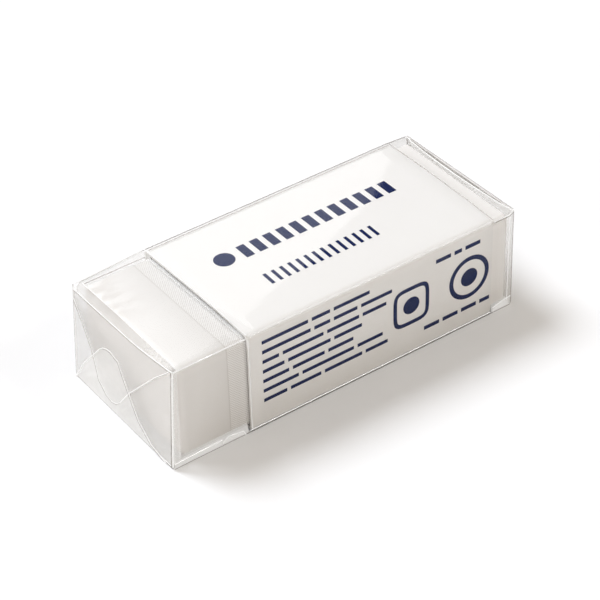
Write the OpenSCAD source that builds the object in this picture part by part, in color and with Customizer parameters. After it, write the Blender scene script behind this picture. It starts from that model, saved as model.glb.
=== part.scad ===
// Pocket vinyl eraser: a moulded block in a folded card sleeve, over-wrapped in clear film.
// X runs along the length, Y across the width and Z up. The underside of the wrap lies at z = 0,
// and the middle of the wrap is at the origin. All sizes are in millimetres.

/* [Eraser block] */
// Length of the vinyl block
block_l = 45.2; // [36:0.1:60]
// Width of the vinyl block
block_w = 18.8; // [14:0.1:26]
// Height of the vinyl block
block_h = 12.5; // [9:0.1:16]
// Radius along every edge of the block
block_edge_r = 0.6; // [0.3:0.05:1.2]
// Smooth length at each end, outside the textured grip band
band_margin = 6.4; // [3:0.1:10]
// Depth of the grip band below the smooth surface
band_depth = 0.08; // [0.04:0.01:0.2]

/* [Card sleeve] */
// Thickness of the card
card_t = 0.3; // [0.2:0.05:0.5]
// Length of the sleeve along the block
sleeve_l = 34.1; // [20:0.1:36]
// Length of block left bare at the near end
sleeve_inset = 8.6; // [6:0.1:10]
// Room between the block and the sleeve, above and at the sides
sleeve_fit = 0.05; // [0.02:0.01:0.2]
// Rise of the top panel in the middle, where the card springs up
sleeve_crown = 0.45; // [0.1:0.05:0.8]
// Slant of the near cut edge, front to back
sleeve_skew = 0.3; // [0:0.05:0.6]
// Height of the glue flap inside the back panel
glue_flap_h = 10.4; // [5:0.1:12]
// Height of the lap's free edge above the underside of the block
lap_edge_h = 1.1; // [0.8:0.1:3]

/* [Film wrap] */
// Thickness of the film
film_t = 0.05; // [0.03:0.01:0.1]
// Air under the film, above and at the sides
film_gap = 0.05; // [0.03:0.01:0.15]
// Radius of the film where it bends over the long edges
film_edge_r = 0.3; // [0.2:0.05:0.5]
// Length over which the film comes down from the sleeve to the block, near end
tent_near = 0.4; // [0.2:0.1:2]
// Length over which the film comes down from the sleeve to the block, far end
tent_far = 0.9; // [0.3:0.1:1.2]
// Width of the long seam on the back
seam_w = 4; // [2:0.5:7]

/* [Folded ends] */
// Stand-off of the near end's fold from the block, at floor level
near_reach = 1.4; // [1.2:0.1:3]
// Lean of the near end, as run per rise
near_lean = 0.06; // [0:0.01:0.1]
// Stand-off of the far end's fold from the block
far_reach = 0.7; // [0.6:0.1:2]
// Height of the pulled corners above the top of the block
ear_h = 0.45; // [0.2:0.05:1]
// How far the near end's top fold sags between its pulled corners
near_sag = 1.9; // [0.5:0.1:3]
// How far the far end's groove sags between its pulled corners
far_sag = 0.9; // [0.3:0.1:2]
// How far each pulled corner stands out past the side of the block
ear_out = 0.4; // [0.2:0.05:1]
// Depth of the top flap, from the top of the block
top_flap_h = 11.4; // [5:0.1:12]
// Height of the bottom flap, from the floor
bottom_flap_h = 8.2; // [4:0.1:11]
// Width of each flap's blunt tip
flap_tip_w = 3.4; // [2.5:0.1:8]
// Sideways place of the flap tips, from the middle
flap_tip_y = 2.4; // [-4:0.1:4]
// Size of the opening that the folds leave at one bottom corner
corner_vent = 0.4; // [0.35:0.05:0.6]

/* [Hidden] */
fine = 48;
arc_steps = 3;
top_steps = 12;
side_steps = 3;
flap_tip_r = 1.1;
tip_steps = 6;
long_circle_fn = 720;

// Heights, from the floor up
sleeve_z = film_t;
block_z = sleeve_z + card_t;
block_top = block_z + block_h;
sleeve_top = block_top + sleeve_fit + card_t;

// Half widths and the two layers of card at the back
inner_half = block_w / 2 + sleeve_fit;
front_y = -inner_half - card_t;
back_y = inner_half + 2 * card_t;

// Places along the length
near_x = -block_l / 2;
far_x = block_l / 2;
sleeve_x0 = near_x + sleeve_inset;
sleeve_x1 = sleeve_x0 + sleeve_l;

// The film's outer skin stands this far off what it covers
film_off = film_gap + film_t;

// Middle of the wrap, brought to the origin
near_end_x = near_x - near_reach;
far_end_x = far_x + far_reach;
mid_x = (near_end_x + far_end_x) / 2;
mid_y = (front_y + back_y + film_t) / 2;

module centred() {
    translate([-mid_x, -mid_y, 0]) children();
}

// Turns a drawing in (y, z) into a plate that grows along +X
module along_x(length) {
    rotate([90, 0, 90]) linear_extrude(height = length) children();
}

// Rectangle with round corners, from its lower left and upper right corners
module round_rect(lo, hi, r) {
    translate([lo[0] + r, lo[1]]) square([hi[0] - lo[0] - 2 * r, hi[1] - lo[1]]);
    translate([lo[0], lo[1] + r]) square([hi[0] - lo[0], hi[1] - lo[1] - 2 * r]);
    for (cx = [lo[0] + r, hi[0] - r], cy = [lo[1] + r, hi[1] - r])
        translate([cx, cy]) circle(r = r, $fn = fine);
}

// Block

module block_body() {
    r = block_edge_r;
    w = block_w / 2;
    intersection() {
        translate([near_x, 0, 0]) along_x(block_l) round_rect([-w, block_z], [w, block_top], r);
        translate([0, w, 0]) rotate([90, 0, 0]) linear_extrude(height = block_w)
            round_rect([near_x, block_z], [far_x, block_top], r);
        translate([0, 0, block_z]) linear_extrude(height = block_h)
            round_rect([near_x, -w], [far_x, w], r);
    }
}

// Everything outside the block's section, taken in by the depth of the band
module band_cut() {
    w = block_w / 2;
    d = band_depth;
    difference() {
        translate([-w - 1, block_z - 1]) square([block_w + 2, block_h + 2]);
        round_rect([-w + d, block_z + d], [w - d, block_top - d], block_edge_r);
    }
}

module eraser_block() {
    color("white") centred() difference() {
        block_body();
        translate([near_x + band_margin, 0, 0]) along_x(block_l - 2 * band_margin) band_cut();
    }
}

// Sleeve

// Flat-bottomed section whose top panel springs up into a shallow arch
module arched_section(lo, hi, r, rise) {
    chord = hi[0] - lo[0] - 2 * r;
    arch_r = (chord * chord / 4 + rise * rise) / (2 * rise);
    round_rect(lo, hi, r);
    intersection() {
        translate([(lo[0] + hi[0]) / 2, hi[1] + rise - arch_r]) circle(r = arch_r, $fn = long_circle_fn);
        translate([lo[0] + r, hi[1] - r]) square([chord, r + rise]);
    }
}

// Outside of the folded card: the back panel's outer layer ends in a free edge above the floor
module sleeve_outside() {
    r = block_edge_r + card_t;
    difference() {
        arched_section([front_y, sleeve_z], [back_y, sleeve_top], r, sleeve_crown);
        translate([inner_half + card_t, sleeve_z - 1])
            square([card_t + 1, block_z + lap_edge_h - sleeve_z + 1]);
    }
    round_rect([front_y, sleeve_z], [inner_half + card_t, block_top], r);
}

// Inside of the folded card: above the glue flap's end the outer layer stands off the block
module sleeve_inside() {
    r = block_edge_r;
    top = block_top + sleeve_fit;
    flap_end = block_z + glue_flap_h;
    round_rect([-inner_half, block_z], [inner_half, top - r], r);
    intersection() {
        arched_section([-inner_half, block_z], [inner_half + card_t, top], r, sleeve_crown);
        translate([-inner_half, block_z + 2 * r]) square([block_w + 4 * card_t, block_h + sleeve_crown + 1]);
        union() {
            translate([-inner_half, block_z]) square([2 * inner_half, block_h + sleeve_crown + 1]);
            translate([0, flap_end]) square([block_w, block_h]);
        }
    }
}

// Outline from above, with the near edge cut a little off square
module sleeve_plan() {
    y0 = front_y - 1;
    y1 = back_y + 1;
    polygon([[sleeve_x0 + sleeve_skew, y0], [sleeve_x1, y0], [sleeve_x1, y1], [sleeve_x0, y1]]);
}

module card_sleeve() {
    color("whitesmoke") centred() intersection() {
        translate([sleeve_x0 - 1, 0, 0]) along_x(sleeve_l + 2) difference() {
            sleeve_outside();
            sleeve_inside();
        }
        linear_extrude(height = 2 * sleeve_top) sleeve_plan();
    }
}

// Film

function arc(cy, cz, r, a0, a1) =
    [for (i = [0:arc_steps]) let (a = a0 + (a1 - a0) * i / arc_steps) [cy + r * cos(a), cz + r * sin(a)]];

// Top edge between the corners: a crown for a positive rise, a sag between pulled corners for a negative one
function top_edge(y0, y1, z, rise, power) =
    [for (i = [1:top_steps - 1]) let (s = i / top_steps)
        [y0 + (y1 - y0) * s, z + rise * (1 - pow(abs(2 * s - 1), power))]];

function front_edge(y, z0, z1) = [for (i = [1:side_steps - 1]) [y, z0 + (z1 - z0) * i / side_steps]];

// The back of the outer skin carries the long seam, a second layer of film
function back_edge(y, z0, z1, seam) =
    let (m = (z0 + z1) / 2, h = seam_w / 2)
    seam > 0 ? [[y, m + h], [y + seam, m + h], [y + seam, m - h], [y, m - h]] : [[y, m + h], [y, m - h]];

// A station is [x at the floor, lean, y0, y1, z0, z1, rise, power]
function section(s, seam) =
    let (y0 = s[2], y1 = s[3], z0 = s[4], z1 = s[5], r = film_edge_r)
    concat(arc(y0 + r, z0 + r, r, 270, 180), front_edge(y0, z0 + r, z1 - r),
        arc(y0 + r, z1 - r, r, 180, 90), top_edge(y0 + r, y1 - r, z1, s[6], s[7]),
        arc(y1 - r, z1 - r, r, 90, 0), back_edge(y1, z0, z1, seam), arc(y1 - r, z0 + r, r, 0, -90));

function ring(s, seam) = [for (p = section(s, seam)) [s[0] + s[1] * p[1], p[0], p[1]]];

// Moves a station inwards by the film's thickness, and its plane by dx
function inset(s, dx) =
    [s[0] + dx, s[1], s[2] + film_t, s[3] - film_t, s[4] + film_t, s[5] - film_t, s[6], s[7]];

// The same for a folded end, whose pulled corners are film pressed double
function pinch(s, dx) =
    let (i = inset(s, dx), d = 2 * film_t)
    [i[0], i[1], i[2], i[3], i[4], i[5] - d, i[6] + d, i[7]];

// Closed skin through rings of equally many points
module skin(rings) {
    n = len(rings[0]);
    last = len(rings) - 1;
    polyhedron(
        points = [for (g = rings, p = g) p],
        faces = concat(
            [[for (j = [n - 1:-1:0]) j]],
            [[for (j = [0:n - 1]) last * n + j]],
            [for (i = [0:last - 1], j = [0:n - 1]) let (k = (j + 1) % n)
                [i * n + j, i * n + k, (i + 1) * n + k]],
            [for (i = [0:last - 1], j = [0:n - 1]) let (k = (j + 1) % n)
                [i * n + j, (i + 1) * n + k, (i + 1) * n + j]]),
        convexity = 6);
}

block_side = block_w / 2 + film_off;
over_block_z0 = block_z - film_off;
over_block_z1 = block_top + film_off;
snug = block_edge_r / 4;
ear_z = block_top + ear_h;
ear_side = block_w / 2 + ear_out;
ear_power = 6;
groove_power = 4;
ridge_t = 2 * film_t;

function over_block(x) = [x, 0, -block_side, block_side, over_block_z0, over_block_z1, 0, 2];
function over_sleeve(x) =
    [x, 0, front_y - film_off, back_y + film_off, 0, sleeve_top + film_off, sleeve_crown, 2];

near_end = [near_end_x, near_lean, -ear_side, ear_side + card_t, 0, ear_z, -near_sag, ear_power];
far_groove = [far_end_x - ridge_t - film_t, 0, -ear_side, ear_side, 0, ear_z, -far_sag, groove_power];
far_ridge = [far_end_x - ridge_t, 0, -ear_side, ear_side, 0, ear_z + film_t, 0, 2];
far_end = [far_end_x, 0, -ear_side, ear_side, 0, ear_z + film_t, 0, 2];

middle = [
    over_block(near_x + snug),
    over_block(sleeve_x0 - tent_near),
    over_sleeve(sleeve_x0 - film_gap),
    over_sleeve(sleeve_x1 + film_gap),
    over_block(sleeve_x1 + tent_far),
    over_block(far_x - snug)];

module film_shell() {
    outer = concat([near_end], middle, [far_groove, far_ridge, far_end]);
    inner = concat([pinch(near_end, film_t)], [for (s = middle) inset(s, 0)],
        [pinch(far_groove, 0), pinch(far_groove, ridge_t)]);
    difference() {
        skin([for (s = outer) ring(s, film_t)]);
        skin([for (s = inner) ring(s, 0)]);
    }
}

// Angle at which the straight edge from a base corner touches the tip's round corner
function touch_angle(corner, centre, side) =
    let (d = corner - centre) atan2(d[1], d[0]) + side * acos(flap_tip_r / norm(d));

function tip_arc(centre, a0, a1) =
    [for (i = [0:tip_steps]) let (a = a0 + (a1 - a0) * i / tip_steps)
        centre + flap_tip_r * [cos(a), sin(a)]];

// Blunt-tipped flap that points up, from its base line to its tip
module flap(base_z, tip_z, half, tip_y) {
    tip_in = flap_tip_w / 2 - flap_tip_r;
    right = [tip_y + tip_in, tip_z - flap_tip_r];
    left = [tip_y - tip_in, tip_z - flap_tip_r];
    polygon(concat([[-half, base_z], [half, base_z]],
        tip_arc(right, touch_angle([half, base_z], right, 1), 90),
        tip_arc(left, 90, 360 + touch_angle([-half, base_z], left, -1))));
}

// Keeps a drawing just inside the outline of a folded end
module inside_end(s) {
    intersection() {
        polygon(section(inset(s, 0), 0));
        children();
    }
}

module top_flap() {
    mirror([0, 1]) flap(near_sag - block_top, top_flap_h - block_top, ear_side, flap_tip_y);
}

module bottom_flap() {
    flap(-film_t, bottom_flap_h, ear_side - film_t, flap_tip_y);
}

// Plate of one or two layers on the outside of a folded end: side is -1 at the near end, 1 at the far end
module layers_on_end(count, side) {
    embed = film_t / 2;
    translate([side < 0 ? -count * film_t : -embed, 0, 0]) along_x(count * film_t + embed) children();
}

// The top flap is folded down first and the bottom flap up over it, stepping over its edge
module end_flaps(s, side) {
    layers_on_end(1, side) inside_end(s) union() {
        top_flap();
        bottom_flap();
    }
    layers_on_end(2, side) inside_end(s) intersection() {
        top_flap();
        bottom_flap();
    }
}

// Folded film isn't airtight: the folds of the far end leave a small opening at the back, by the floor
module vent() {
    translate([far_end_x, ear_side, 0]) cube(2 * corner_vent, center = true);
}

module film_wrap() {
    color("lightcyan", 0.4) centred() difference() {
        union() {
            film_shell();
            translate([near_end_x, 0, 0]) rotate([0, atan(near_lean), 0]) end_flaps(near_end, -1);
            translate([far_end_x, 0, 0]) end_flaps(far_end, 1);
        }
        vent();
    }
}

eraser_block();
card_sleeve();
film_wrap();
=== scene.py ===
"""Looks of a pocket vinyl eraser in a card sleeve under clear film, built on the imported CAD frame."""
import math

import bmesh
import bpy
from mathutils import Matrix, Vector, noise


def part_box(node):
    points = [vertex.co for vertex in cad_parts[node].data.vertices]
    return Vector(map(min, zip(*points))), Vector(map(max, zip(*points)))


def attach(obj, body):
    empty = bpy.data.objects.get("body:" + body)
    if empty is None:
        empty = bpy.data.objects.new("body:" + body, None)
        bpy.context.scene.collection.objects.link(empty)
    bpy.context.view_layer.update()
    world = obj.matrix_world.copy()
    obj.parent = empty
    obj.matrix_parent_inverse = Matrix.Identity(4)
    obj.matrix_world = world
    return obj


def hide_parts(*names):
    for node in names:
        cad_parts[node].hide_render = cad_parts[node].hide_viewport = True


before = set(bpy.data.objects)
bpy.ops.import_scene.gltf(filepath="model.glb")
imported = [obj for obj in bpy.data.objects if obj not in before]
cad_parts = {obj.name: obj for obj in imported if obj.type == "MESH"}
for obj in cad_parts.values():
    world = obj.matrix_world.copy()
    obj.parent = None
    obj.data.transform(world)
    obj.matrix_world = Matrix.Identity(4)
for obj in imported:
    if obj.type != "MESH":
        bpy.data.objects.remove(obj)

bl_info = {
    "name": "Wrapped Eraser",
    "version": (1, 0, 0),
    "blender": (4, 5, 0),
    "location": "View3D > Sidebar > Eraser",
    "description": "Dresses the packed eraser: block, card sleeve, print, clear film and stage",
    "category": "Object",
}

MM = 0.001

# Block, in mm: the step at each end of the band, and how tight the far end's edges are
BAND_STEP = 0.12
FAR_EDGE_SHARE = 0.35
# Card, in mm: its ends along X, the skew of its near edge, how far the top panel's long edges lie under
# its crown, and the heights of the outer lap's foot and of the glue flap's head
CARD_X0, CARD_X1 = -13.7, 20.5
CARD_SLANT = 0.3
PANEL_DROP = 0.45
LAP_FOOT = 1.45
FLAP_HEAD = 10.7
# Film: its front face and its ends' back faces in mm, points per rounded corner, index of refraction
FILM_FRONT, NEAR_BACK, FAR_BACK = -9.97, 9.92, 9.62
ARC = 4
FILM_IOR = 1.5
# Stage: the floor's own light for what sees it, the sky's share in mirrors, the softbox's height in mm
FLOOR_LIFT = 0.052
MIRRORED_SKY = 0.45
SOFTBOX_HEIGHT = 213
# Printed shapes start on these planes, in mm, and are then wrapped onto the card
ABOVE_TOP, BEFORE_FRONT = 14.0, -11.0

# Fold line over the near end's top, and the crease at the far end, as (place from front to back, height)
NEAR_FOLD = [(0.0, 13.25), (0.036, 13.06), (0.123, 12.86), (0.22, 12.62), (0.32, 12.4), (0.42, 12.3),
             (0.57, 12.24), (0.72, 12.18), (0.88, 12.15), (1.0, 12.12)]
FAR_GROOVE = [(0.0, 13.5), (0.1, 13.35), (0.19, 13.3), (0.36, 13.2), (0.55, 13.1), (0.71, 13.04),
              (0.86, 13.02), (1.0, 13.1)]
# Edges of the flaps, as (y, z), from the back
NEAR_TOP_FLAP = [(9.9, 10.95), (8.13, 8.79), (6.2, 5.99), (5.65, 4.6), (4.95, 2.68), (3.4, 1.54),
                 (2.26, 1.31), (1.34, 1.65), (0.56, 2.37), (-1.29, 4.86), (-6.48, 10.35), (-9.33, 12.97)]
NEAR_BOTTOM_FLAP = [(9.9, 0.04), (8.07, 3.04), (5.92, 5.6), (4.67, 7.1), (3.89, 7.79), (3.17, 8.12),
                    (2.28, 8.24), (0.73, 7.87), (-0.22, 6.38), (-1.29, 4.86), (-3.22, 2.3),
                    (-5.62, 0.7), (-8.61, 0.06)]
FAR_TOP_FLAP = [(y * 0.985, min(z, 12.6)) for y, z in NEAR_TOP_FLAP]
FAR_BOTTOM_FLAP = [(y * 0.97, z) for y, z in NEAR_BOTTOM_FLAP]
# Doubled film along the foot of the front and up its near edge, as outlines; they glow a little, painted
# light over the shade under the block's edges
LOW_FOLDS = [("film_foot_near", [(-23.6, -9.96, 0.03), (-17.2, -9.99, 0.03), (-17.2, -9.7, 0.9),
                                 (-23.5, -9.9, 0.95)]),
             ("film_foot_crumple", [(-17.2, -9.99, 0.03), (-14.2, -10.0, 0.03), (-14.4, -9.8, 0.56),
                                    (-16.36, -9.74, 0.78), (-17.2, -9.73, 0.19)]),
             ("film_foot_far", [(20.7, -9.99, 0.03), (23.48, -9.96, 0.03), (23.45, -9.95, 1.25),
                                (22.7, -9.76, 1.0), (20.7, -9.8, 0.55)]),
             ("film_edge_near", [(-23.58, -9.96, 0.75), (-22.55, -9.8, 0.72), (-22.3, -9.78, 12.85),
                                 (-22.85, -9.96, 13.1)])]
# Inner layers at the foot, and one in the corner behind the card's near edge; they glow, painted light
# over the dark gaps behind them
TUCKS = [("film_near_tuck", [(-22.28, -9.6, 1.35), (-23.5, -9.6, 0.12), (-23.5, 9.4, 0.12),
                             (-22.28, 9.4, 1.35)]),
         ("film_far_tuck", [(23.0, -9.6, 1.0), (23.4, -9.6, 0.12), (23.4, 9.2, 0.12), (23.0, 9.2, 1.0)]),
         ("film_front_tuck", [(-23.3, -9.61, 1.2), (-23.3, -9.88, 0.12), (-13.75, -9.88, 0.12),
                              (-13.75, -9.61, 1.2)]),
         ("film_front_far_tuck", [(20.7, -9.6, 1.0), (20.7, -9.88, 0.12), (23.3, -9.88, 0.12),
                                  (23.0, -9.6, 1.0)]),
         ("film_corner_tuck", [(-13.75, 8.3, 12.98), (-13.72, 9.5, 12.1), (-13.66, 9.62, 12.9),
                               (-13.66, 9.0, 13.24)])]


# Selecting and shaping

def deselect():
    """Back to object mode, with nothing selected."""
    if bpy.context.mode != "OBJECT":
        bpy.ops.object.mode_set(mode="OBJECT")
    bpy.ops.object.select_all(action="DESELECT")


def activate(obj):
    """Selects one object alone and makes it the active one."""
    deselect()
    obj.select_set(True)
    bpy.context.view_layer.objects.active = obj


def edit(obj, action="DESELECT"):
    """Edit mode on faces, with nothing selected, or all by action SELECT."""
    activate(obj)
    bpy.ops.object.mode_set(mode="EDIT")
    bpy.ops.mesh.select_mode(type="FACE")
    bpy.ops.mesh.select_all(action=action)


def leave():
    bpy.ops.object.mode_set(mode="OBJECT")


def turn_outward(obj):
    """Turns the faces of a solid, tube or sheet to look the same way, outward."""
    edit(obj, "SELECT")
    bpy.ops.mesh.normals_make_consistent(inside=False)
    leave()


def pick(kind, test):
    """In edit mode, selects the faces, edges or verts whose middle (in mm) and normal pass the test."""
    mesh = bpy.context.edit_object.data
    bm = bmesh.from_edit_mesh(mesh)
    bpy.ops.mesh.select_mode(type={"verts": "VERT", "edges": "EDGE", "faces": "FACE"}[kind])
    bpy.ops.mesh.select_all(action="DESELECT")
    bm.normal_update()
    found = 0
    for item in getattr(bm, kind):
        if kind == "faces":
            middle, normal = item.calc_center_median(), item.normal
        elif kind == "edges":
            middle = (item.verts[0].co + item.verts[1].co) / 2
            normal = (item.verts[1].co - item.verts[0].co).normalized()
        else:
            middle, normal = item.co, item.normal
        if test(middle / MM, normal):
            item.select_set(True)
            found += 1
    bm.select_flush_mode()
    bmesh.update_edit_mesh(mesh)
    return found


def use_modifier(obj, kind, **values):
    """Adds a modifier with its settings and applies it."""
    activate(obj)
    modifier = obj.modifiers.new(kind.title(), kind)
    for key, value in values.items():
        setattr(modifier, key, value)
    bpy.ops.object.modifier_apply(modifier=modifier.name)


def smooth(obj, angle):
    """Smooth shading, sharp where faces meet at more than an angle in degrees."""
    activate(obj)
    bpy.ops.object.shade_smooth_by_angle(angle=math.radians(angle))


def place(obj, material, slot, *nodes):
    """Gives a finished piece its material and body, and hides the CAD nodes that it stands for; the slot
    is not used.
    """
    obj.data.materials.clear()
    obj.data.materials.append(material)
    obj.data.name = obj.name
    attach(obj, "root")
    if nodes:
        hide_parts(*nodes)
    deselect()


def new_object(name, data):
    """Puts a mesh, curve, lamp or camera into the scene."""
    obj = bpy.data.objects.new(name, data)
    bpy.context.scene.collection.objects.link(obj)
    return obj


def mesh_from(name, verts, faces):
    """A mesh object from points in mm, for skins that follow measured sections."""
    mesh = bpy.data.meshes.new(name)
    mesh.from_pydata([[c * MM for c in v] for v in verts], [], faces)
    mesh.validate()
    return new_object(name, mesh)


def face_towards(obj, way):
    """Flips a sheet whose faces look against way, and returns the sheet."""
    if sum(face.normal.dot(way) for face in obj.data.polygons) < 0:
        obj.data.flip_normals()
    return obj


def flat_sheet(name, corners, way):
    """One face through corners in mm, looking along way."""
    return face_towards(mesh_from(name, corners, [tuple(range(len(corners)))]), Vector(way))


def blend_in(table, at):
    """Reads a table of (place, value) at one place, straight between its rows."""
    if at <= table[0][0]:
        return table[0][1]
    for (a, u), (b, v) in zip(table, table[1:]):
        if at <= b:
            return u + (v - u) * (at - a) / (b - a)
    return table[-1][1]


def ease(edge0, edge1, x):
    """0 up to edge0, 1 from edge1 on, and a soft rise between them."""
    t = min(max((x - edge0) / (edge1 - edge0), 0.0), 1.0)
    return t * t * (3 - 2 * t)


# Materials

class Nodes:
    """Short way to build the node tree of a material, or of the world."""

    def __init__(self, name, world=False):
        self.owner = (bpy.data.worlds if world else bpy.data.materials).new(name)
        self.owner.use_nodes = True
        self.tree = self.owner.node_tree
        self.tree.nodes.clear()
        self.out = self.add("ShaderNodeOutputWorld" if world else "ShaderNodeOutputMaterial")

    def add(self, kind, links=None, **values):
        """A node with its settings in values. Its inputs are linked, or set, from links."""
        node = self.tree.nodes.new(kind)
        for key, value in values.items():
            setattr(node, key, value)
        for key, value in (links or {}).items():
            socket = node.inputs[key]
            if isinstance(value, bpy.types.NodeSocket):
                self.tree.links.new(value, socket)
            else:
                socket.default_value = value
        return node

    def get(self, kind, links=None, **values):
        """The first output of a new node."""
        return self.add(kind, links, **values).outputs[0]

    def math(self, operation, a, b=0.0):
        return self.get("ShaderNodeMath", {0: a, 1: b}, operation=operation)

    def mix(self, share, a, b):
        """Shader a, turned to shader b by a share."""
        return self.get("ShaderNodeMixShader", {0: share, 1: a, 2: b})

    def finish(self, shader):
        self.tree.links.new(shader, self.out.inputs["Surface"])
        return self.owner


def object_point(n):
    """Object coordinates in mm."""
    where = n.add("ShaderNodeTexCoord").outputs["Object"]
    return n.get("ShaderNodeVectorMath", {0: where, 3: 1 / MM}, operation="SCALE")


def stretch(n, point, by):
    """A place with each axis multiplied, so that a grain runs long one way."""
    return n.get("ShaderNodeVectorMath", {0: point, 1: by}, operation="MULTIPLY")


def grain(n, point, scale, detail=2.0, roughness=0.5):
    """Soft noise from 0 to 1."""
    return n.get("ShaderNodeTexNoise", {"Vector": point, "Scale": scale, "Detail": detail,
                                        "Roughness": roughness})


def ramp(n, value, low, high, to_low, to_high):
    """A value spread from low..high over to_low..to_high, and held beyond them."""
    return n.get("ShaderNodeMapRange", {"Value": value, "From Min": low, "From Max": high,
                                        "To Min": to_low, "To Max": to_high})


def tint(n, fac, a, b):
    """Colour a, turned to colour b by a share."""
    return n.add("ShaderNodeMix", {0: fac, 6: a, 7: b}, data_type="RGBA").outputs[2]


def solid(n, colour, roughness, ior, specular, **more):
    """Finishes a material that light doesn't pass."""
    return n.finish(n.get("ShaderNodeBsdfPrincipled", {
        "Base Color": colour, "Roughness": roughness, "IOR": ior, "Specular IOR Level": specular,
        **more}))


def vinyl_material():
    """White vinyl: soft mottling, smooth ends, and a band printed with a fine crossed mesh, with painted
    light on its ends and painted shade in streaks and at the band's steps.
    """
    s = bpy.context.scene.eraser_block
    n = Nodes("vinyl_white")
    point = object_point(n)
    x, y, z = n.add("ShaderNodeSeparateXYZ", {"Vector": point}).outputs
    middle = (s.band_x0 + s.band_x1) / 2 / MM
    reach = (s.band_x1 - s.band_x0) / 2 / MM
    off = n.math("ABSOLUTE", n.math("SUBTRACT", x, middle))
    band = ramp(n, off, reach - 0.05, reach + 0.1, 1.0, 0.0)
    pitch = math.tau / (s.mesh_pitch / MM)
    one = n.math("SINE", n.math("MULTIPLY", x, pitch))
    two = n.math("SINE", n.math("MULTIPLY", n.math("ADD", y, z), pitch))
    mesh = n.math("MULTIPLY", n.math("MULTIPLY", one, two), band)
    fine = grain(n, point, 3.0, 4.0, 0.6)
    height = n.math("ADD", n.math("MULTIPLY", mesh, 0.4), n.math("MULTIPLY", fine, 0.1))
    bump = n.get("ShaderNodeBump", {"Height": height, "Strength": 0.35, "Distance": 0.00005})
    soft = grain(n, point, 0.18)
    plain = tint(n, soft, (0.845, 0.831, 0.815, 1), (0.88, 0.869, 0.855, 1))
    # painted light: a lighter colour from x=17 on towards the far end and on the near end face, standing
    # in for light that these parts lack under the folded film
    plain = tint(n, ramp(n, x, 17.0, 20.0, 0.0, 1.0), plain, (0.955, 0.94, 0.925, 1))
    plain = tint(n, ramp(n, x, -22.0, -21.3, 1.0, 0.0), plain, (0.93, 0.915, 0.9, 1))
    # painted shade of the film's slack: darker streaks, only on the top, near the near end and towards
    # the back
    streak = grain(n, stretch(n, point, (0.32, 0.75, 0.3)), 1.0, 1.0)
    slack = ramp(n, streak, 0.43, 0.56, 0.0, 1.0)
    for share in (ramp(n, x, -22.0, -17.5, 0.8, 0.0), ramp(n, y, 0.0, 4.0, 0.0, 1.0),
                  ramp(n, z, 12.0, 12.6, 0.0, 1.0)):
        slack = n.math("MULTIPLY", slack, share)
    plain = tint(n, slack, plain, (0.71, 0.682, 0.655, 1))
    meshed = tint(n, ramp(n, mesh, -0.3, 0.3, 0.0, 1.0), (0.77, 0.752, 0.73, 1), (1.0, 0.995, 0.985, 1))
    # painted shade: a dark line along the band's steps down from the smooth ends
    step = ramp(n, n.math("ABSOLUTE", n.math("SUBTRACT", off, reach)), 0.03, 0.14, 0.7, 0.0)
    colour = tint(n, step, tint(n, band, plain, meshed), (0.7, 0.68, 0.655, 1))
    return solid(n, colour, ramp(n, fine, 0.3, 0.7, 0.5, 0.62), 1.47, 0.35, Normal=bump)


def card_material():
    """Coated white card with faint fibres."""
    n = Nodes("card_white")
    point = object_point(n)
    fibre = grain(n, stretch(n, point, (0.6, 3.0, 3.0)), 1.4, 5.0, 0.65)
    cloud = grain(n, point, 0.12)
    face = tint(n, cloud, (0.895, 0.887, 0.877, 1), (0.915, 0.909, 0.9, 1))
    colour = tint(n, ramp(n, fibre, 0.35, 0.75, 0.0, 0.22), face, (0.86, 0.85, 0.835, 1))
    bump = n.get("ShaderNodeBump", {"Height": fibre, "Strength": 0.12, "Distance": 0.00003})
    return solid(n, colour, ramp(n, fibre, 0.3, 0.7, 0.42, 0.55), 1.46, 0.3, Normal=bump)


def ink_material():
    """Navy offset ink, a little uneven where the card's fibres show through."""
    n = Nodes("ink_navy")
    speck = grain(n, object_point(n), 6.0, 4.0, 0.7)
    patchy = ramp(n, speck, 0.35, 0.75, 0.0, 1.0)
    colour = tint(n, patchy, (0.002, 0.011, 0.075, 1), (0.006, 0.02, 0.105, 1))
    return solid(n, colour, ramp(n, speck, 0.3, 0.7, 0.4, 0.55), 1.48, 0.05)


def film_material(name, colour, haze):
    """Clear film: what is behind shows through, with a thin gloss and a trace of milky haze."""
    n = Nodes(name)
    wave = grain(n, object_point(n), 0.22, 3.0, 0.55)
    bump = n.get("ShaderNodeBump", {"Height": wave, "Strength": 0.015, "Distance": 0.0004})
    slant = n.add("ShaderNodeLayerWeight", {"Blend": 0.5}).outputs["Facing"]
    through = tint(n, n.math("POWER", slant, 3.0), colour, (0.6, 0.59, 0.575, 1))
    clear = n.get("ShaderNodeBsdfTransparent", {"Color": through})
    gloss = n.get("ShaderNodeBsdfGlossy", {"Color": (0.45, 0.45, 0.45, 1), "Roughness": 0.05,
                                           "Normal": bump})
    milk = n.get("ShaderNodeBsdfDiffuse", {"Color": (0.93, 0.925, 0.915, 1)})
    # the share of its gloss is the same from either side
    back = n.add("ShaderNodeNewGeometry").outputs["Backfacing"]
    ior = n.math("SUBTRACT", FILM_IOR, n.math("MULTIPLY", back, FILM_IOR - 1 / FILM_IOR))
    rim = n.get("ShaderNodeFresnel", {"IOR": ior, "Normal": bump})
    return n.finish(n.mix(rim, n.mix(haze, clear, milk), gloss))


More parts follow.
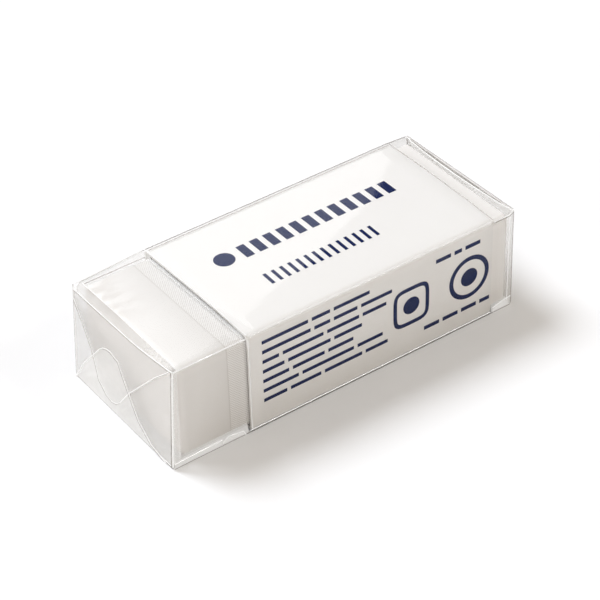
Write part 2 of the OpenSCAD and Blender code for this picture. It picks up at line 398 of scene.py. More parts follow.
def crease_material(name, colour, amount, gloss, glow=0.0):
    """Film folded sharp or doubled: how much it hides, and the shares of gloss and of glow in its light;
    the glow is painted light, an emission of its own.
    """
    n = Nodes(name)
    broken = ramp(n, grain(n, object_point(n), 0.55, 3.0, 0.6), 0.3, 0.7, amount * 0.9, amount)
    clear = n.get("ShaderNodeBsdfTransparent", {"Color": (0.97, 0.968, 0.965, 1)})
    matt = n.get("ShaderNodeBsdfDiffuse", {"Color": colour})
    mirror = n.get("ShaderNodeBsdfGlossy", {"Color": colour, "Roughness": 0.12})
    body = n.mix(gloss, matt, mirror)
    # glow: painted light, the fold shining of itself
    if glow:
        body = n.mix(glow, body, n.get("ShaderNodeEmission", {"Color": colour, "Strength": 1.0}))
    return n.finish(n.mix(broken, clear, body))


# Settings

class EraserBlockSettings(bpy.types.PropertyGroup):
    band_x0: bpy.props.FloatProperty(
        name="Band start", description="Where the meshed band starts, near end",
        default=-0.01585, subtype="DISTANCE")
    band_x1: bpy.props.FloatProperty(
        name="Band end", description="Where the meshed band ends, far end",
        default=0.01655, subtype="DISTANCE")
    band_depth: bpy.props.FloatProperty(
        name="Band depth", description="Depth of the meshed band below the smooth ends",
        default=0.00008, subtype="DISTANCE")
    mesh_pitch: bpy.props.FloatProperty(
        name="Mesh pitch", description="Spacing of the crossed lines in the band",
        default=0.00032, subtype="DISTANCE")
    edge_radius: bpy.props.FloatProperty(
        name="Edge radius", description="Radius along every edge of the block",
        default=0.0008, subtype="DISTANCE")


class CardSleeveSettings(bpy.types.PropertyGroup):
    thickness: bpy.props.FloatProperty(
        name="Card thickness", description="Thickness of the card",
        default=0.0003, subtype="DISTANCE")
    crown_near: bpy.props.FloatProperty(
        name="Near crown", description="Rise of the top panel's middle at the near end",
        default=0.00028, subtype="DISTANCE")
    crown_far: bpy.props.FloatProperty(
        name="Far crown", description="Rise of the top panel's middle at the far end",
        default=0.0003, subtype="DISTANCE")
    ink_lift: bpy.props.FloatProperty(
        name="Ink lift", description="Height of the printed shapes above the card",
        default=0.000012, subtype="DISTANCE")


class FilmWrapSettings(bpy.types.PropertyGroup):
    crown: bpy.props.FloatProperty(
        name="Film crown", description="Rise of the film's top between its long edges",
        default=0.00021, subtype="DISTANCE")
    ripple: bpy.props.FloatProperty(
        name="Ripple", description="Height of the slack ripples in the film",
        default=0.000008, subtype="DISTANCE")
    bead: bpy.props.FloatProperty(
        name="Crease radius", description="Half the width of a sharp crease or cut edge",
        default=0.000082, subtype="DISTANCE")


class StageSettings(bpy.types.PropertyGroup):
    key_strength: bpy.props.FloatProperty(
        name="Key strength", description="Strength of the key light from the back left",
        default=2.58)
    key_angle: bpy.props.FloatProperty(
        name="Key size", description="Angle that the key light fills, which softens the shadow",
        default=math.radians(27), subtype="ANGLE")
    sky: bpy.props.FloatProperty(
        name="Sky", description="Level of the even light from all around",
        default=0.48)
    fill_strength: bpy.props.FloatProperty(
        name="Fill strength", description="Strength of the weak light from the front left",
        default=0.8)
    glint_strength: bpy.props.FloatProperty(
        name="Glint strength", description="Strength of the small light that the long creases mirror",
        default=0.55)
    softbox: bpy.props.FloatProperty(
        name="Softbox", description="Level of the softbox that the top of the film mirrors",
        default=2.75)
    lens: bpy.props.FloatProperty(
        name="Lens", description="Focal length in millimetres on a 36 mm sensor",
        default=133.52)


# Block

class ERASER_OT_block(bpy.types.Operator):
    """Moulded vinyl block with smooth ends and a meshed band between them"""
    bl_idname = "eraser.block"
    bl_label = "Eraser Block"

    def execute(self, context):
        s = context.scene.eraser_block
        lo, hi = (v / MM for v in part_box("eraser_block"))
        deselect()
        bpy.ops.mesh.primitive_cube_add(size=1, location=[(a + b) / 2 * MM for a, b in zip(lo, hi)])
        obj = context.active_object
        obj.name = "vinyl_block"
        obj.scale = [(b - a) * MM for a, b in zip(lo, hi)]
        bpy.ops.object.transform_apply(location=True, rotation=True, scale=True)
        edit(obj, "SELECT")
        bpy.ops.mesh.bevel(offset=s.edge_radius, segments=5, affect="EDGES", profile=0.5)
        leave()
        # the far end's edges are tighter than the rest
        for v in obj.data.vertices:
            back = hi.x * MM - v.co.x
            if back < s.edge_radius * 1.01:
                v.co.x = hi.x * MM - back * FAR_EDGE_SHARE
        x0, x1 = s.band_x0 / MM, s.band_x1 / MM
        for x in (x0, x0 + BAND_STEP, x1 - BAND_STEP, x1):
            edit(obj, "SELECT")
            bpy.ops.mesh.bisect(plane_co=(x * MM, 0.0, 0.0), plane_no=(1.0, 0.0, 0.0))
            leave()
        edit(obj)
        if not pick("faces", lambda c, n: x0 + BAND_STEP < c.x < x1 - BAND_STEP and abs(n.x) < 0.5):
            raise RuntimeError("the band's faces weren't found")
        bpy.ops.transform.shrink_fatten(value=-s.band_depth, use_even_offset=True)
        leave()
        smooth(obj, 40)
        place(obj, vinyl_material(), "vinyl", "eraser_block")
        return {"FINISHED"}


# Sleeve

def crown_rise(x, y, s, half):
    """Rise of the top panel at a place in mm."""
    lo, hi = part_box("card_sleeve")
    t = (x - lo.x / MM) / ((hi.x - lo.x) / MM)
    rise = (s.crown_near + (s.crown_far - s.crown_near) * t) / MM
    return rise * max(0.0, 1 - (y / half) ** 2)


def slant_at(y):
    """The card's near edge is cut a little off square: its shift along X at a place across, in mm."""
    return CARD_SLANT * (1 - ease(-9.9, 9.9, y))


class ERASER_OT_sleeve(bpy.types.Operator):
    """Card strip folded round the block, its outer layer lapped over the glue flap on the back"""
    bl_idname = "eraser.sleeve"
    bl_label = "Card Sleeve"

    def execute(self, context):
        s = context.scene.eraser_sleeve
        lo, hi = (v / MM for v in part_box("card_sleeve"))
        front, back = lo.y, hi.y
        inner_back = back - s.thickness / MM
        top = hi.z - PANEL_DROP
        r, tight = 0.85, 0.5
        path = [(back, lo.z + LAP_FOOT), (back, top - tight)]
        corners = [((back - tight, top - tight), 0, tight), ((front + r, top - r), 90, r),
                   ((front + tight, lo.z + tight), 180, tight),
                   ((inner_back - tight, lo.z + tight), 270, tight)]
        half, middle = (back - front) / 2, (back + front) / 2
        for (cy, cz), start, bend in corners:
            for i in range(6):
                a = math.radians(start + 90 * i / 5)
                path.append((cy + bend * math.cos(a), cz + bend * math.sin(a)))
            if start == 0:
                path += [(cy + (front + r - cy) * i / 24, top) for i in range(1, 24)]
        path.append((inner_back, lo.z + FLAP_HEAD))
        deselect()
        bpy.ops.mesh.primitive_plane_add(size=1)
        obj = context.active_object
        obj.name = "card_sleeve_folded"
        edit(obj)
        pick("verts", lambda c, n: c.y > 0)
        bpy.ops.mesh.delete(type="VERT")
        pick("edges", lambda c, n: True)
        bpy.ops.mesh.subdivide(number_cuts=17)
        bm = bmesh.from_edit_mesh(obj.data)
        for v in bm.verts:
            v.co = Vector((lo.x + (hi.x - lo.x) * (v.co.x + 0.5), *path[0])) * MM
        bmesh.update_edit_mesh(obj.data)
        bpy.ops.mesh.select_mode(type="EDGE")
        bpy.ops.mesh.select_all(action="SELECT")
        for (y0, z0), (y1, z1) in zip(path, path[1:]):
            bpy.ops.mesh.extrude_region_move(
                TRANSFORM_OT_translate={"value": (0, (y1 - y0) * MM, (z1 - z0) * MM)})
        leave()
        # the top panel springs up, and the near edge is cut a little off square
        for v in obj.data.vertices:
            x, y, z = v.co / MM
            if z > top - 0.3:
                v.co.z += crown_rise(x, y - middle, s, half - 0.2) * ease(top - 0.3, top, z) * MM
            t = (x - lo.x) / (hi.x - lo.x)
            v.co.x += (1 - t) * slant_at(y) * MM
        use_modifier(obj, "SOLIDIFY", thickness=s.thickness, offset=-1.0, use_even_offset=True)
        turn_outward(obj)
        smooth(obj, 32)
        place(obj, card_material(), "card", "card_sleeve")
        return {"FINISHED"}


# Print

def on_panel(obj, lo, hi, panel):
    """Spreads a unit shape over a rectangle of the top or front panel, in mm."""
    for v in obj.data.vertices:
        a, b = (low + (high - low) * (c + 0.5) for low, high, c in zip(lo, hi, v.co))
        v.co = Vector((a, b, ABOVE_TOP) if panel == "top" else (a, BEFORE_FRONT, b)) * MM
    if panel == "front":
        obj.data.flip_normals()
    return obj


def unit_disc(count):
    """A flat disc of count corners, 1 across."""
    deselect()
    bpy.ops.mesh.primitive_circle_add(vertices=count, radius=0.5, fill_type="NGON")
    return bpy.context.active_object


def bar(lo, hi, panel):
    """A flat bar, from its lowest to its highest corner."""
    deselect()
    bpy.ops.mesh.primitive_plane_add(size=1)
    return on_panel(bpy.context.active_object, lo, hi, panel)


def disc(lo, hi, panel):
    """A flat disc between two corners."""
    return on_panel(unit_disc(40), lo, hi, panel)


def ring(lo, hi, wall, count, corner=1.0):
    """A flat frame on the front panel: a ring, or with a small corner a rounded square."""
    obj = unit_disc(count)
    if corner < 1.0:
        power = 2 / corner
        for v in obj.data.vertices:
            a = math.atan2(v.co.y, v.co.x)
            k = (abs(math.cos(a)) ** power + abs(math.sin(a)) ** power) ** (-1 / power)
            v.co.x, v.co.y = 0.5 * k * math.cos(a), 0.5 * k * math.sin(a)
    edit(obj, "SELECT")
    bpy.ops.mesh.inset(thickness=wall / max(hi[0] - lo[0], hi[1] - lo[1]), depth=0)
    bpy.ops.mesh.delete(type="FACE")
    leave()
    return on_panel(obj, lo, hi, "front")


def row_of_bars(x0, x1, low, high, widths, gap, panel):
    """Bars of the given relative widths, spread evenly over a row."""
    room = (x1 - x0) - gap * (len(widths) - 1)
    made, x = [], x0
    for w in widths:
        step = room * w / sum(widths)
        made.append(bar((x, low), (x + step, high), panel))
        x += step + gap
    return made


class ERASER_OT_print(bpy.types.Operator):
    """Plain navy bars, a disc and frames where the sleeve is printed"""
    bl_idname = "eraser.print"
    bl_label = "Printed Shapes"

    def execute(self, context):
        s = context.scene.eraser_sleeve
        made = [disc((-9.0, 1.35), (-6.5, 3.85), "top")]
        made += row_of_bars(-5.5, 15.4, 1.35, 3.75, (1,) * 12, 0.72, "top")
        made += row_of_bars(-6.0, 8.8, -4.2, -2.2, (1,) * 14, 0.68, "top")
        # rows of dashes on the front: where each row ends, and the relative widths of its dashes
        z = 11.25
        for x1, widths in ((2.9, (5, 2, 4)), (6.0, (6, 2, 3, 4)), (5.2, (2, 5, 4, 3)), (1.8, (3, 6, 4)),
                           (0.6, (4, 5, 4)), (4.7, (4, 6, 3)), (5.4, (3, 4, 5, 3))):
            made += row_of_bars(-11.6, x1, z + 0.12, z + 0.6, widths, 0.5, "front")
            z -= 1.35
        made += row_of_bars(12.2, 18.6, 11.1, 11.65, (4, 2, 4), 0.5, "front")
        made += row_of_bars(10.6, 20.2, 2.4, 2.95, (3, 3, 3, 2), 0.5, "front")
        made.append(ring((6.2, 4.2), (11.3, 9.6), 0.55, 48, 0.45))
        made.append(disc((7.6, 5.75), (9.9, 8.05), "front"))
        made.append(ring((14.2, 4.0), (20.0, 9.9), 0.6, 56))
        made.append(disc((15.9, 5.75), (18.3, 8.15), "front"))
        deselect()
        for obj in made:
            obj.select_set(True)
        context.view_layer.objects.active = made[0]
        bpy.ops.object.join()
        obj = context.active_object
        obj.name = "sleeve_printed_shapes"
        edit(obj, "SELECT")
        bpy.ops.mesh.quads_convert_to_tris(ngon_method="BEAUTY")
        bpy.ops.mesh.subdivide(number_cuts=2)
        leave()
        sleeve = bpy.data.objects.get("card_sleeve_folded")
        if sleeve is None:
            raise RuntimeError("the sleeve comes before its print")
        use_modifier(obj, "SHRINKWRAP", target=sleeve, wrap_method="NEAREST_SURFACEPOINT",
                     wrap_mode="ABOVE_SURFACE", offset=s.ink_lift)
        smooth(obj, 60)
        place(obj, ink_material(), "card")
        return {"FINISHED"}


# Film

def quarter(cy, cz, r, start):
    """A quarter turn of a section, clockwise from an angle in degrees, without its last point."""
    turns = [math.radians(start - 90 * i / ARC) for i in range(ARC)]
    return [(cy + r * math.cos(a), cz + r * math.sin(a)) for a in turns]


def section_points(y0, y1, z0, r, top):
    """Section of the film tube in (y, z), from the floor's back corner forwards, up, back and down."""
    front, back = top(0.0), top(1.0)
    points = [(y1 - r + (y0 + r - (y1 - r)) * i / 10, z0) for i in range(10)]
    points += quarter(y0 + r, z0 + r, r, 270)
    points += [(y0, z0 + r + (front - r - z0 - r) * i / 8) for i in range(8)]
    points += quarter(y0 + r, front - r, r, 180)
    points += [(y0 + r + (y1 - y0 - 2 * r) * t, top(t)) for t in (i / 28 for i in range(28))]
    points += quarter(y1 - r, back - r, r, 90)
    points += [(y1, back - r - (back - r - z0 - r) * i / 8) for i in range(8)]
    points += quarter(y1 - r, z0 + r, r, 0)
    return points


def arched(t):
    """Rise of the film's top at a share of its width, in mm."""
    return bpy.context.scene.eraser_film.crown / MM * (1 - (2 * t - 1) ** 2)


def lean_x(z):
    """The near end leans: its place along X at a height, in mm."""
    return -23.65 + 0.06 * z


def far_x(z):
    """The far end leans a little the other way."""
    return 23.5 - 0.008 * z


def groove_x(t):
    """The far end's top crease bows in over the block: its place along X, front to back."""
    return 23.36 - 0.42 * math.sin(math.pi * min(max(t, 0.0), 1.0)) ** 0.6


def lip_point(t, share, lift=0.03):
    """A point of the far end's lip: share 0 at its crease, 1 at its ridge."""
    x, y, z = groove_x(t), -9.95 + 19.55 * t, blend_in(FAR_GROOVE, t) + 0.03
    return (x + (far_x(13) - 0.02 - x) * share, y + 0.1 * share * (1 - t),
            z + (13.66 - 0.36 * t - z) * share + lift)


def groove_at(y, z):
    """A point of the far crease's section: bowed in along the top, upright below it."""
    upright = far_x(z) - 0.12
    bowed = groove_x((y - FILM_FRONT) / (FAR_BACK - FILM_FRONT))
    return upright + (bowed - upright) * ease(12.5, 13.0, z), y, z


def near_plane(points, away=0.02):
    """Points (y, z) put on the near end's leaning plane, away mm outside it."""
    return [(lean_x(z) - away, y, z) for y, z in points]


def fold_edge(table, y0, y1):
    """Points of a fold line from back to front, in (y, z)."""
    return [(y1 + (y0 - y1) * i / 24, blend_in(table, 1 - i / 24)) for i in range(25)]


def film_sections():
    """Stations of the film tube: (place of a section's point, section)."""
    # each: front face, back face, foot and corner radius, then the height of the top
    over_block = section_points(-9.675, 9.325, 0.25, 0.3, lambda t: 12.95 + arched(t))
    over_card = section_points(-10.015, 9.975, 0.0, 0.3, lambda t: 13.3 + arched(t))

    def upright(x):
        return lambda y, z: (x, y, z)

    def lifted(start, across, low, high):
        """The block's section drawn out to the card's from start across, by shares across and up."""
        return [(p[0] + (q[0] - p[0]) * across * ease(start, 9.3, p[0]),
                 p[1] + (q[1] - p[1]) * (high if p[1] > 6 else low) * ease(start, 9.3, p[0]))
                for p, q in zip(over_block, over_card)]

    def stretched(x):
        """At the near end the back edge runs straight from the film's corner to the card's."""
        along = (x + 22.9) / 9.2
        return lifted(7.9, 1.0, along, -0.7 + 1.7 * along)

    near = section_points(FILM_FRONT, NEAR_BACK, 0.02, 0.25, lambda t: blend_in(NEAR_FOLD, t))
    turn = [(p[0] + (q[0] - p[0]) * 0.3, p[1] + (q[1] - p[1]) * 0.3)
            for p, q in zip(near, stretched(-22.6))]
    stations = [(lambda y, z: (lean_x(z), y, z), near),
                (lambda y, z: (lean_x(z) * 0.6 + -22.1 * 0.4, y, z), turn)]
    stations += [(upright(x), stretched(x))
                 for x in (-22.1, -21.4, -20.0, -18.6, -17.2, -16.4, -15.6, -14.8, -14.1)]
    stations += [(upright(CARD_X0 + (CARD_X1 - CARD_X0) * i / 18), over_card) for i in range(19)]
    # past the card the film runs from the block's back edge straight to what stands higher
    stations += [(upright(x), lifted(6.5, 0.9, 0.9, 0.9)) for x in (21.35, 22.1, 22.8)]
    groove = section_points(FILM_FRONT, FAR_BACK, 0.02, 0.25, lambda t: blend_in(FAR_GROOVE, t))
    ridge = section_points(FILM_FRONT, FAR_BACK, 0.02, 0.25, lambda t: 13.68 - 0.4 * t)
    return stations + [(groove_at, groove), (lambda y, z: (far_x(z), y, z), ridge)]


class ERASER_OT_film(bpy.types.Operator):
    """Clear film drawn round block and sleeve as one tube, with slack ripples"""
    bl_idname = "eraser.film"
    bl_label = "Film Tube"

    def execute(self, context):
        s = context.scene.eraser_film
        stations = film_sections()
        count = len(stations[0][1])
        verts = [put(y, z) for put, section in stations for y, z in section]
        faces = []
        for i in range(len(stations) - 1):
            for j in range(count):
                k = (j + 1) % count
                faces.append((i * count + j, i * count + k, (i + 1) * count + k, (i + 1) * count + j))
        obj = mesh_from("film_tube", verts, faces)
        for v in obj.data.vertices:
            x, y, z = v.co / MM
            # ripples between the folded ends: up on the top, outward on the sides
            if -22.5 < x < 23.0:
                ripple = abs(noise.noise(Vector((x * 0.35, y * 0.5, z * 0.5)))) * s.ripple
                if abs(y) < 9.4 and z > 9:
                    v.co.z += ripple
                elif z > 0.5:
                    v.co.y += math.copysign(ripple * 0.2, y)
            # the step down from the card follows its skewed edge
            if -14.2 < x < -9:
                v.co.x += slant_at(y) * (1 - ease(-13.0, -10.0, x)) * MM
        turn_outward(obj)
        smooth(obj, 50)
        place(obj, film_material("film_clear", (0.965, 0.962, 0.956, 1), 0.002), "film", "film_wrap")
        return {"FINISHED"}


def strip_between(name, low, high):
    """A strip of film between two lines with equally many points, facing up."""
    count = len(low)
    faces = [(i, i + 1, count + i + 1, count + i) for i in range(count - 1)]
    return face_towards(mesh_from(name, low + high, faces), Vector((0, 0, 1)))


def end_slopes():
    """Film stretched from the block's top edge to the near end's crease, and the far end's lip."""
    steps = [i / 24 for i in range(25)]
    low = [(x, y, z + 0.02) for x, y, z in near_plane(fold_edge(NEAR_FOLD, -9.9, 9.85), 0.03)]
    high = [(-22.2, 9.2 - 18.7 * t, 13.0 + arched(t)) for t in steps]
    crease, ridge = ([lip_point(t, share, 0.0) for t in steps] for share in (0.0, 1.0))
    return strip_between("film_near_slope", low, high), strip_between("film_far_lip", crease, ridge)


def end_sheet(name, outline, x_of, away):
    """A flat layer of film on a folded end, away mm outside its plane."""
    verts = [(x_of(z) + away, y, z) for y, z in outline]
    obj = mesh_from(name, verts, [tuple(range(len(verts)))])
    edit(obj, "SELECT")
    bpy.ops.mesh.quads_convert_to_tris(ngon_method="BEAUTY")
    turn_outward(obj)
    return face_towards(obj, Vector((away, 0, 0)))


def end_layers(prefix, x_of, side, back, fold, top_flap, bottom_flap):
    """Gussets, top flap and bottom flap of one end, from the inside out."""
    left = [(back, 0.05), (back, blend_in(fold, 1.0)), (3.4, 6.6), (3.2, 5.6)]
    right = [(FILM_FRONT, 0.05), (FILM_FRONT, blend_in(fold, 0.0)), (-1.9, 6.2), (0.4, 5.2),
             (0.4, 0.05)]
    top = fold_edge(fold, FILM_FRONT, back) + top_flap[::-1]
    return [end_sheet(prefix + "_gusset_back", left, x_of, side * 0.01),
            end_sheet(prefix + "_gusset_front", right, x_of, side * 0.01),
            end_sheet(prefix + "_top_flap", top, x_of, side * 0.05),
            end_sheet(prefix + "_bottom_flap", bottom_flap, x_of, side * 0.09)]


class ERASER_OT_film_ends(bpy.types.Operator):
    """Envelope folds at both ends: tucked gussets, then the top flap, then the bottom flap over it"""
    bl_idname = "eraser.film_ends"
    bl_label = "Film Ends"

    def execute(self, context):
        single = film_material("film_folded", (0.955, 0.951, 0.943, 1), 0.26)
        # the far end's lip lets through a darker tint: painted shade below its ridge
        lip = film_material("film_lip", (0.82, 0.8, 0.785, 1), 0.06)
        # doubled film glows a little: painted light on the bottom flaps and the folds at the foot
        double = crease_material("film_doubled", (0.95, 0.945, 0.935, 1), 0.5, 0.05, 0.4)
        # a sheet that glows more, for the strip up the near front edge: painted light
        pale_glow = crease_material("film_lit", (0.93, 0.92, 0.905, 1), 0.4, 0.1, 0.6)
        near = end_layers("film_near", lean_x, -1, NEAR_BACK, NEAR_FOLD, NEAR_TOP_FLAP, NEAR_BOTTOM_FLAP)
        far = end_layers("film_far", far_x, 1, FAR_BACK, FAR_GROOVE, FAR_TOP_FLAP, FAR_BOTTOM_FLAP)
        for obj in near + far:
            place(obj, double if obj.name.endswith("bottom_flap") else single, "film")
        for name, outline in LOW_FOLDS:
            material = pale_glow if name == "film_edge_near" else double
            place(flat_sheet(name, outline, (0, -1, 0)), material, "film")
        for obj, material in zip(end_slopes(), (single, lip)):
            place(obj, material, "film")
        # the tucks glow: painted light over the shade behind them
        tucked = crease_material("film_tucked", (0.8, 0.785, 0.765, 1), 0.8, 0.0, 0.6)
        for name, corners in TUCKS:
            place(flat_sheet(name, corners, (0, 0, 1)), tucked, "film")
        # the tube's own seam down the back
        seam = mesh_from("film_back_seam", [(-22.0, 9.99, 4.6), (-22.0, 9.99, 8.6), (-14.2, 10.0, 8.6),
                                            (20.6, 10.01, 8.6), (22.9, 9.8, 8.6), (22.9, 9.8, 4.6),
                                            (20.6, 10.01, 4.6), (-14.2, 10.0, 4.6)],
                         [(0, 1, 2, 7), (7, 2, 3, 6), (6, 3, 4, 5)])
        place(face_towards(seam, Vector((0, 1, 0))), single, "film")
        return {"FINISHED"}


def bead_object(name, lines, radius):
    """Thin round beads along polylines of points in mm, as one mesh."""
    curve = bpy.data.curves.new(name, "CURVE")
    curve.dimensions = "3D"
    curve.bevel_depth = radius
    curve.bevel_resolution = 1
    for line in lines:
        spline = curve.splines.new("POLY")
        spline.points.add(len(line) - 1)
        for p, q in zip(spline.points, line):
            p.co = (q[0] * MM, q[1] * MM, q[2] * MM, 1)
    activate(new_object(name, curve))
    bpy.ops.object.convert(target="MESH")
    obj = bpy.context.active_object
    bpy.ops.object.shade_smooth()
    return obj


# Shade on the far end's lip, below its ridge, as lines
LIP_SHADES = [[lip_point(i / 20, share) for i in range(i0, i1)]
              for share, i0, i1 in ((0.3, 2, 20), (0.5, 6, 17))]
# Edges of the card and of the block under the film, drawn as faint dark lines of painted shade
FAINT_EDGE_SHADES = [[(20.62, y, z) for y, z in ((9.6, 13.3), (5, 13.44), (0, 13.5), (-5, 13.44),
                                           (-9.6, 13.3))],
               [(-13.4, 9.3, 13.36), (20.4, 9.3, 13.36)], [(-22.1, 8.9, 13.02), (-14.2, 8.9, 13.02)]]


def crease_table():
    """Creases of the film: how bold each is, where the shade beside it lies, and its points in mm."""
    low_left, below = (-0.02, 0.12, -0.16), (0, -0.02, -0.17)
    return [
        ("bold", low_left, near_plane(fold_edge(NEAR_FOLD, -9.93, 9.88))),
        ("bold", low_left, near_plane(NEAR_TOP_FLAP, 0.06)),
        ("bold", low_left, near_plane(NEAR_BOTTOM_FLAP, 0.11)),
        ("fine", (0, 0.12, 0), near_plane([(9.88, 0.3), (9.9, 6), (9.87, 12.6)])),
        ("bold", (-0.1, 0.16, -0.02), near_plane([(-9.9, 0.35), (-9.9, 6), (-9.93, 13.15)], 0.05)),
        ("fine", (0, 0, -0.15), near_plane([(9.6, 0.24), (0, 0.22), (-9.6, 0.24)])),
        # the tube's long edges over the bare block at the near end
        ("bold", None, [(-22.85, -9.93, 13.22), (-22.1, -9.7, 12.97), (-18, -9.68, 12.95),
                        (-14.15, -9.68, 12.97), (-13.75, -9.98, 13.2)]),
        ("fine", None, [(-22.85, 9.75, 12.85), (-14.0, 9.7, 13.36)]),
        ("fine", None, [(-23.45, -9.97, 0.7), (-22.1, -9.85, 0.68), (-17.2, -9.78, 0.66)]),
        ("fine", None, [(-17.2, -9.8, 0.2), (-16.36, -9.78, 0.78), (-14.4, -9.84, 0.56),
                        (-14.2, -10.02, 0.05)]),
        # over the near edge of the card
        ("fine", None, [(-13.68 + slant_at(9.8 - 19.5 * t), 9.8 - 19.5 * t, 13.32 + arched(t))
                        for t in (i / 16 for i in range(17))]),
        ("thin", None, [(-13.36, -10.0, 13.1), (-13.36, -10.03, 6), (-13.36, -10.03, 0.4)]),
        # over the block's top edge at the near end
        ("fine", None, [(-22.2, 9.2 - 18.7 * t, 13.06 + arched(t)) for t in (i / 8 for i in range(9))]),
        # along the card's foot
        ("fine", (0, 0, -0.2), [(-13.6, -10.0, 0.3), (20.4, -10.0, 0.3)]),
        # far end
        ("bold", None, [lip_point(i / 20, 0.0, 0.04) for i in range(21)]),
        ("bold", below, [(20.55, -9.98, 13.2), (21.4, -9.72, 12.98), (22.9, -9.8, 13.02),
                         (23.4, -9.93, 13.5)]),
        ("thin", None, [(22.9, -9.92, 12.9), (22.92, -9.93, 6), (22.92, -9.93, 0.9)]),
        ("fine", None, [(20.7, -9.84, 0.57), (22.7, -9.8, 1.02), (23.42, -9.97, 1.27)]),
        ("bold", None, [(far_x(z) + 0.08, y * 0.985, min(z, 12.6)) for y, z in NEAR_TOP_FLAP]),
        ("bold", None, [(far_x(z) + 0.12, y, z) for y, z in FAR_BOTTOM_FLAP])]


def rim_table():
    """Outer edges of the film, where it is seen edge-on and shows as a thin grey line."""
    return [near_plane([(9.98, 0.15), (9.98, 12.7)], 0.0),
            near_plane([(9.7, 0.04), (0, 0.04), (-9.75, 0.04)], 0.0),
            [(far_x(0), -9.97, 0.3), (far_x(13), -9.97, 13.5)],
            [(far_x(0), 9.6, 0.3), (far_x(13), 9.6, 13.2)],
            [(far_x(13), -9.85, 13.68), (far_x(13), 9.5, 13.3)],
            [(-23.5, -9.96, 0.05), (23.4, -9.98, 0.05)], [(-23.5, 9.9, 0.05), (23.4, 9.6, 0.05)],
            [(-13.7, 10.0, 13.1), (20.5, 10.0, 13.1), (23.4, 9.64, 13.2)],
            [(-22.92, 9.96, 12.3), (-22.9, 9.97, 12.68), (-13.7, 10.0, 13.15)]]


class ERASER_OT_film_creases(bpy.types.Operator):
    """Sharp creases of the film as fine raised lines that glow as painted highlights, some with a narrow
    painted shade beside them
    """
    bl_idname = "eraser.film_creases"
    bl_label = "Film Creases"

    def execute(self, context):
        s = context.scene.eraser_film
        r = s.bead
        rows = crease_table()
        shades = [[tuple(a + b for a, b in zip(p, side)) for p in points]
                  for _, side, points in rows if side]
        # the creases glow: painted highlights along the film's folds
        white = crease_material("film_crease", (0.97, 0.965, 0.955, 1), 0.95, 0.4, 0.5)
        pale_glow = crease_material("film_pale", (0.95, 0.94, 0.93, 1), 0.3, 0.2, 0.5)
        lit = crease_material("film_edge_light", (0.97, 0.965, 0.955, 1), 0.5, 0.1, 0.7)
        rim = crease_material("film_rim", (0.42, 0.4, 0.375, 1), 0.42, 0.0)
        # faint dark lines: painted shade along edges under the film
        faint = crease_material("film_faint", (0.5, 0.46, 0.43, 1), 0.34, 0.0)
        shade = crease_material("film_shade", (0.36, 0.345, 0.32, 1), 0.5, 0.0)
        for kind, share in (("bold", 1.0), ("fine", 0.75), ("thin", 0.45)):
            lines = [points for its_kind, _, points in rows if its_kind == kind]
            place(bead_object("film_creases_" + kind, lines, r * share), white, "film")
        place(bead_object("film_crease_gaps", shades + LIP_SHADES, r * 0.6), shade, "film")
        place(bead_object("film_rims", rim_table(), r * 0.55), rim, "film")
        # painted highlight: a soft glowing line up the near front corner of the film
        upright = [(-23.0, -9.95, 12.6), (-23.35, -9.95, 6.0), (-23.5, -9.95, 0.8)]
        place(bead_object("film_pale_edges", [upright], r * 1.8), pale_glow, "film")
        # painted highlight: a soft glowing strip along the card's front top edge, between three lines
        # from the top down
        lines = [[(x, y, z) for x in (-13.1, 3.5, 20.3)]
                 for y, z in ((-9.743, 13.324), (-9.901, 13.266), (-10.01, 13.137))]
        for i, material in enumerate((lit, pale_glow)):
            strip = strip_between("film_edge_light_%d" % i, lines[i + 1], lines[i])
            place(strip, material, "film")
        # the foot of the step where the film comes down from the card to the block, as a thin glowing
        # line: painted highlight
        step = [(-14.15 + slant_at(y), y, 13.02 + s.crown / MM * max(0.0, 1 - (y / 9.6) ** 2))
                for y in (9.3 - 18.9 * i / 16 for i in range(1, 17))]
        place(bead_object("film_step_foot", [step], r * 0.6), pale_glow, "film")
        place(bead_object("film_faint_edges", FAINT_EDGE_SHADES, r * 0.6), faint, "film")
        # painted highlight: a small glowing facet at the near end's back top corner
        facet = [(-22.98, 9.86, 12.15), (-22.94, 9.82, 12.6), (-22.88, 9.2, 12.66), (-22.96, 9.1, 12.15)]
        place(flat_sheet("film_corner_facet", facet, (-1, 0, 0)), white, "film")
        return {"FINISHED"}


# Stage

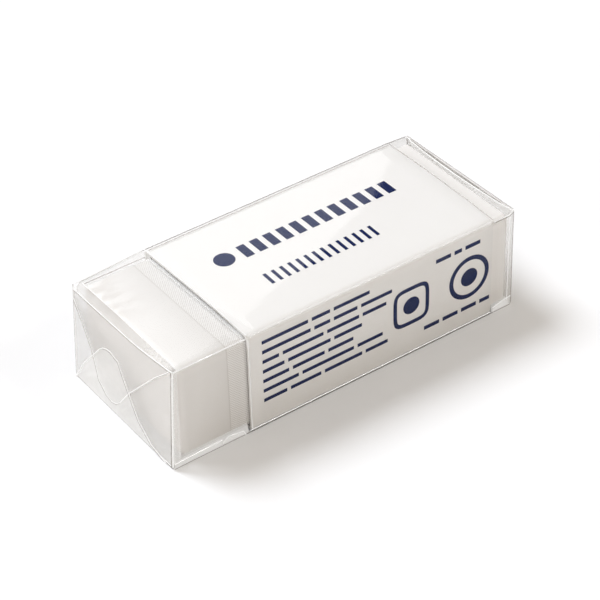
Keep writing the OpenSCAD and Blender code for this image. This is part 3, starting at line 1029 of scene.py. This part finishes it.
class ERASER_OT_stage(bpy.types.Operator):
    """Pale floor, sky, key light, softbox and camera"""
    bl_idname = "eraser.stage"
    bl_label = "Stage"

    def execute(self, context):
        s = context.scene.eraser_stage
        deselect()
        bpy.ops.mesh.primitive_plane_add(size=6)
        floor = context.active_object
        floor.name = "floor"
        n = Nodes("floor_white")
        matt = n.get("ShaderNodeBsdfDiffuse", {"Color": (0.8, 0.789, 0.782, 1)})
        path = n.add("ShaderNodeLightPath").outputs
        seen = n.math("MAXIMUM", path["Is Camera Ray"], path["Is Glossy Ray"])
        seen = n.math("MAXIMUM", seen, path["Is Transmission Ray"])
        lift = n.get("ShaderNodeEmission", {"Color": (0.62, 0.82, 1, 1),
                                            "Strength": n.math("MULTIPLY", seen, FLOOR_LIFT)})
        floor.data.materials.append(n.finish(n.get("ShaderNodeAddShader", {0: matt, 1: lift})))

        n = Nodes("sky", world=True)
        mirrored = n.add("ShaderNodeLightPath").outputs["Is Glossy Ray"]
        level = ramp(n, mirrored, 0.0, 1.0, s.sky, s.sky * MIRRORED_SKY)
        sky = n.get("ShaderNodeBackground", {"Color": (1.0, 0.91, 0.805, 1), "Strength": level})
        context.scene.world = n.finish(sky)

        for name, energy, angle, aim, colour in (
                ("key", s.key_strength, s.key_angle, (0.3, -0.6, -0.9), (0.945, 1.003, 1.09)),
                ("fill", s.fill_strength, math.radians(60), (0.9, 0.2, -0.25), (1.0, 0.98, 0.95)),
                ("glint", s.glint_strength, math.radians(10), (-0.449, 0.619, -0.644),
                 (1.0, 0.98, 0.95))):
            sun = bpy.data.lights.new(name, "SUN")
            sun.energy, sun.angle, sun.color = energy, angle, colour
            lamp = new_object(name, sun)
            lamp.rotation_euler = Vector(aim).to_track_quat("-Z", "Y").to_euler()
            lamp.visible_glossy = name == "glint"

        # the softbox's near edge, its first eight corners, is the slanting line in the film's top
        outline = [(64, 142), (94, 163), (118.3, 179.8), (149.5, 200.5), (183, 229.5), (223, 283),
                   (243, 317), (262, 350), (60, 520), (-140, 420), (-160, 180)]
        panel = mesh_from("softbox", [(x, y, SOFTBOX_HEIGHT) for x, y in outline],
                          [tuple(range(len(outline)))])
        n = Nodes("softbox_glow")
        glow = n.get("ShaderNodeEmission", {"Color": (1, 1, 1, 1), "Strength": s.softbox})
        panel.data.materials.append(n.finish(glow))
        panel.visible_camera = panel.visible_diffuse = panel.visible_shadow = False

        camera = bpy.data.cameras.new("camera")
        camera.lens = s.lens
        camera.sensor_width = 36
        camera.clip_start = 0.01
        eye = new_object("camera", camera)
        forward = Vector((0.44872, 0.64435, -0.61925)).normalized()
        upward = -Vector((-0.37877, -0.49049, -0.78483)).normalized()
        right = forward.cross(upward).normalized()
        turn = Matrix((right, right.cross(forward), -forward)).transposed().to_4x4()
        eye.matrix_world = Matrix.Translation(Vector((-113.091, -163.087, 162.18)) * MM) @ turn
        context.scene.camera = eye
        context.scene.view_settings.view_transform = "Standard"
        return {"FINISHED"}


class ERASER_PT_panel(bpy.types.Panel):
    """Sizes and levels of the wrapped eraser"""
    bl_idname = "ERASER_PT_panel"
    bl_label = "Wrapped Eraser"
    bl_space_type = "VIEW_3D"
    bl_region_type = "UI"
    bl_category = "Eraser"

    def draw(self, context):
        scene = context.scene
        for title, settings, operators in (
                ("Block", scene.eraser_block, ("eraser.block",)),
                ("Sleeve", scene.eraser_sleeve, ("eraser.sleeve", "eraser.print")),
                ("Film", scene.eraser_film, ("eraser.film", "eraser.film_ends", "eraser.film_creases")),
                ("Stage", scene.eraser_stage, ("eraser.stage",))):
            box = self.layout.box()
            box.label(text=title)
            for key in settings.bl_rna.properties.keys():
                if key not in ("rna_type", "name"):
                    box.prop(settings, key)
            for idname in operators:
                box.operator(idname)


SETTINGS = {"eraser_block": EraserBlockSettings, "eraser_sleeve": CardSleeveSettings,
            "eraser_film": FilmWrapSettings, "eraser_stage": StageSettings}
CLASSES = (*SETTINGS.values(), ERASER_OT_block, ERASER_OT_sleeve, ERASER_OT_print, ERASER_OT_film,
           ERASER_OT_film_ends, ERASER_OT_film_creases, ERASER_OT_stage, ERASER_PT_panel)


def register():
    for cls in CLASSES:
        bpy.utils.register_class(cls)
    for key, cls in SETTINGS.items():
        setattr(bpy.types.Scene, key, bpy.props.PointerProperty(type=cls))


def unregister():
    for key in SETTINGS:
        delattr(bpy.types.Scene, key)
    for cls in reversed(CLASSES):
        bpy.utils.unregister_class(cls)


def main():
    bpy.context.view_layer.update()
    register()
    bpy.ops.eraser.block()
    bpy.ops.eraser.sleeve()
    bpy.ops.eraser.print()
    bpy.ops.eraser.film()
    bpy.ops.eraser.film_ends()
    bpy.ops.eraser.film_creases()
    bpy.ops.eraser.stage()


if __name__ == "__main__":
    main()
